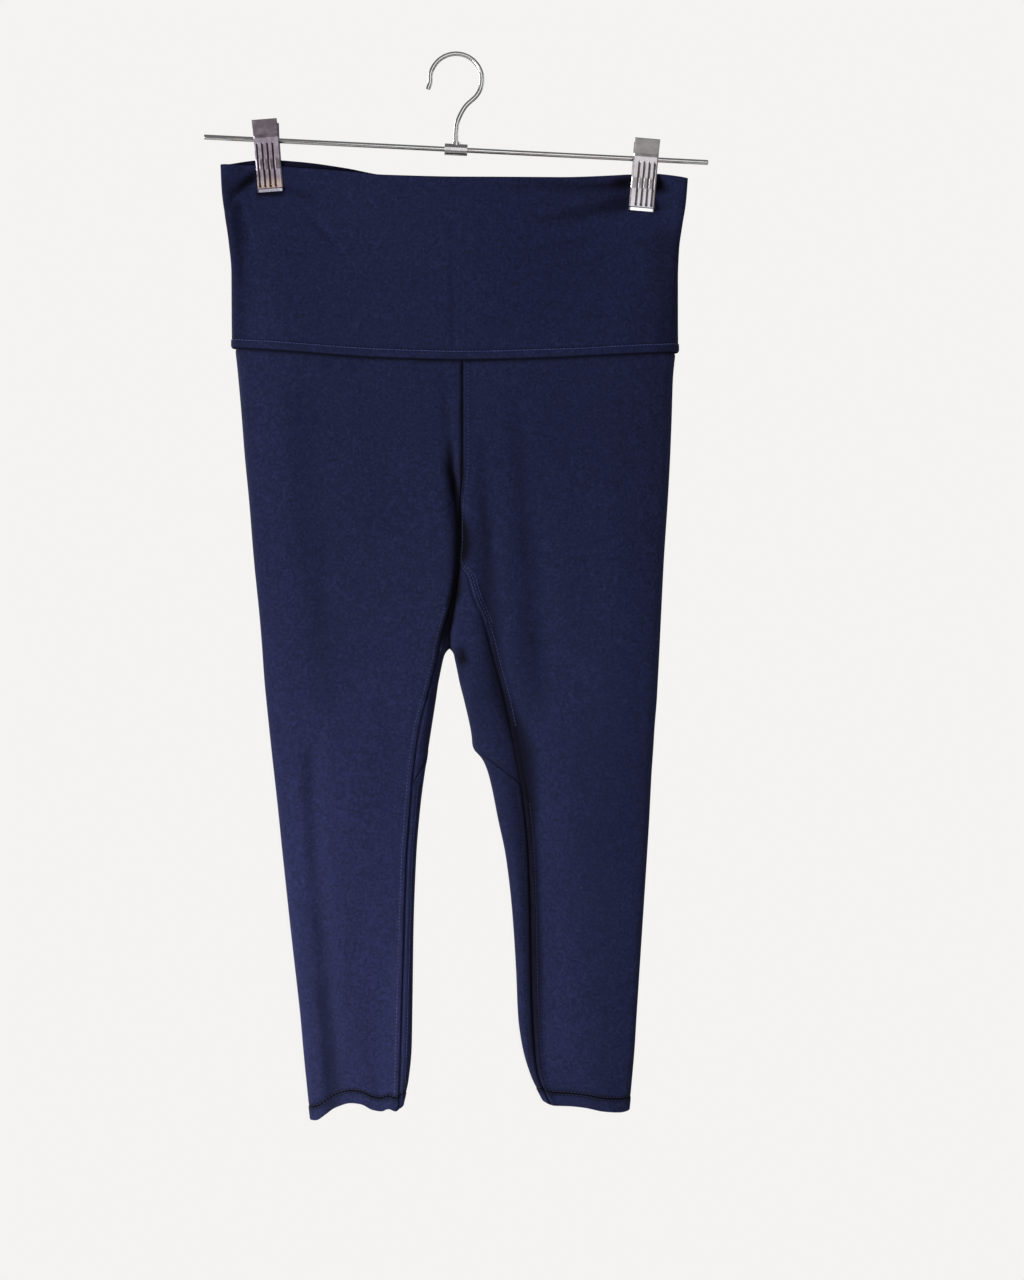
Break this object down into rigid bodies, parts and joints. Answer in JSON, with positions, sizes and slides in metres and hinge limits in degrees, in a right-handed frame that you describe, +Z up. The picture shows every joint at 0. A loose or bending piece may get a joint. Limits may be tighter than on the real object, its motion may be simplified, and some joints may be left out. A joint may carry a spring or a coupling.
{
  "type": "leggings on a clip hanger",
  "caption": "Cropped high-waist navy jersey leggings with a wide plain waistband and a crotch gusset, hanging open-ended from a metal clip hanger.",
  "frame": {"origin": "the top of the inside of the hanger's hook, where a wardrobe rail carries it", "axes": "X across the garment towards the wearer's left leg, Y from the front of the garment to its back, Z up"},
  "size_m": [0.4036, 0.051, 0.855],
  "materials": {
    "jersey": "matte brushed knit, slightly heathered navy",
    "hanger_metal": "polished plating"
  },
  "bodies": {
    "root": {"waistband_front": "jersey", "waistband_back": "jersey", "leg_right": "jersey", "leg_left": "jersey", "gusset": "jersey", "hanger_bar": "hanger_metal", "hook_ferrule": "hanger_metal", "hanger_hook": "hanger_metal", "clip_right_front_jaw": "hanger_metal", "clip_right_back_jaw": "hanger_metal", "clip_right_pivot": "hanger_metal", "clip_left_front_jaw": "hanger_metal", "clip_left_back_jaw": "hanger_metal", "clip_left_pivot": "hanger_metal"}
  },
  "joints": []
}
